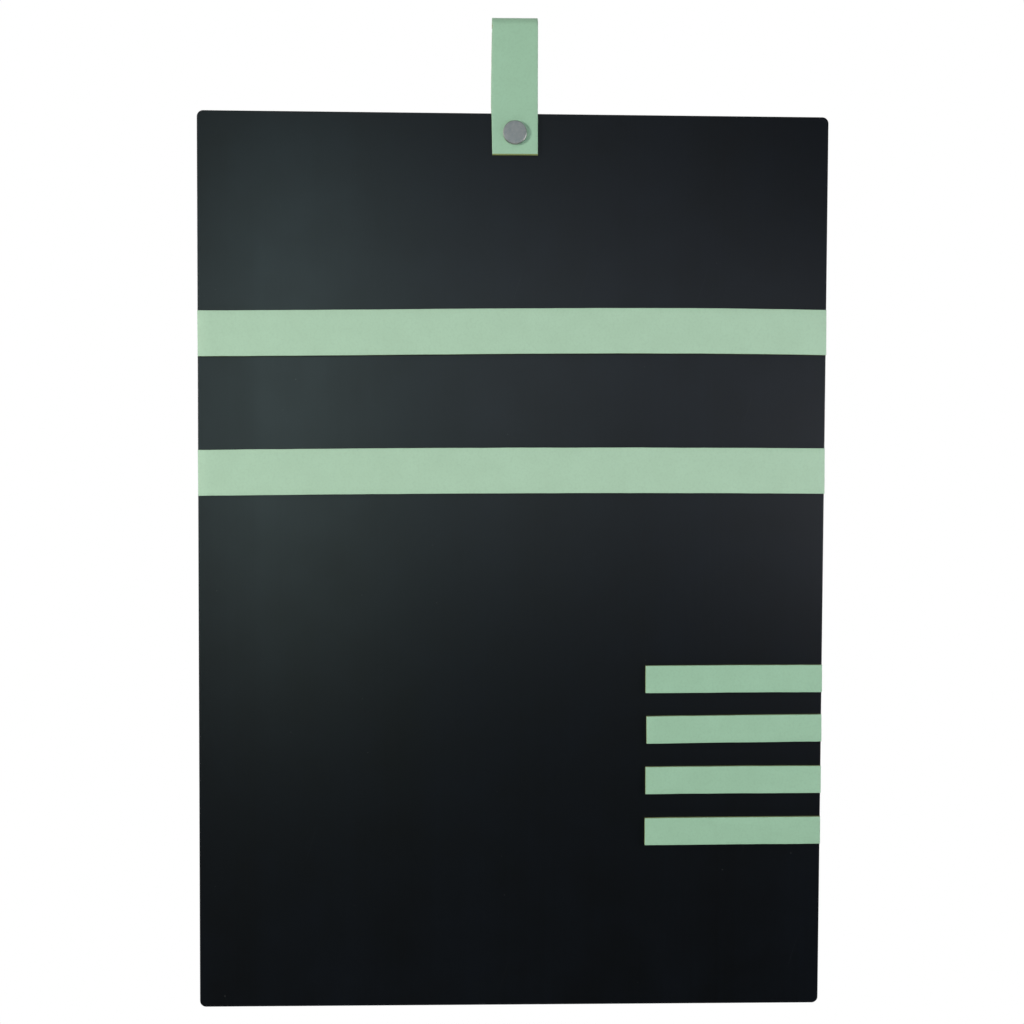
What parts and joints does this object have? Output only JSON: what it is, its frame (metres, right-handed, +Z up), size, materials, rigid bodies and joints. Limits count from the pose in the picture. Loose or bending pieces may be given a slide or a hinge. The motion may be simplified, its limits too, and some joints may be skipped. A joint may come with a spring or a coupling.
{
  "type": "magnetic memo board",
  "caption": "Dark steel memo board hung from a folded leather strap on a screw stud, with leather-faced magnetic strips that hold papers to its front and pull off.",
  "frame": {"origin": "inside top of the hanging strap's fold, where a hook or nail carries the board", "axes": "+X along the board's width, to the right seen from the front; +Y from the front to the wall; +Z up"},
  "size_m": [0.35, 0.0108, 0.5527],
  "materials": {
    "blackened_steel": "satin dark blue-green black",
    "mint_leather": "smooth pigmented mint green with raw tan cut edges",
    "magnetic_tape": "matt dark brown-black",
    "nickel_stud": "matt nickel plate"
  },
  "bodies": {
    "hanger": {"hanger_strap": "mint_leather"},
    "board": {"steel_board": "blackened_steel", "stud_post": "nickel_stud", "stud_screw": "nickel_stud"},
    "long_strip_upper": {"long_strip_upper_leather": "mint_leather", "long_strip_upper_magnet": "magnetic_tape"},
    "long_strip_lower": {"long_strip_lower_leather": "mint_leather", "long_strip_lower_magnet": "magnetic_tape"},
    "short_strip_1": {"short_strip_1_leather": "mint_leather", "short_strip_1_magnet": "magnetic_tape"},
    "short_strip_2": {"short_strip_2_leather": "mint_leather", "short_strip_2_magnet": "magnetic_tape"},
    "short_strip_3": {"short_strip_3_leather": "mint_leather", "short_strip_3_magnet": "magnetic_tape"},
    "short_strip_4": {"short_strip_4_leather": "mint_leather", "short_strip_4_magnet": "magnetic_tape"}
  },
  "joints": [
    {"name": "hanger_swing", "type": "hinge", "parent": "hanger", "child": "board", "pos_m": [0, 0, -0.0618], "axis": [0, 1, 0], "range_deg": [-60, 60]},
    {"name": "long_strip_upper_pull", "type": "slide", "parent": "board", "child": "long_strip_upper", "axis": [0, -1, 0], "range_m": [0, 0.06]},
    {"name": "long_strip_lower_pull", "type": "slide", "parent": "board", "child": "long_strip_lower", "axis": [0, -1, 0], "range_m": [0, 0.06]},
    {"name": "short_strip_1_pull", "type": "slide", "parent": "board", "child": "short_strip_1", "axis": [0, -1, 0], "range_m": [0, 0.06]},
    {"name": "short_strip_2_pull", "type": "slide", "parent": "board", "child": "short_strip_2", "axis": [0, -1, 0], "range_m": [0, 0.06]},
    {"name": "short_strip_3_pull", "type": "slide", "parent": "board", "child": "short_strip_3", "axis": [0, -1, 0], "range_m": [0, 0.06]},
    {"name": "short_strip_4_pull", "type": "slide", "parent": "board", "child": "short_strip_4", "axis": [0, -1, 0], "range_m": [0, 0.06]}
  ]
}
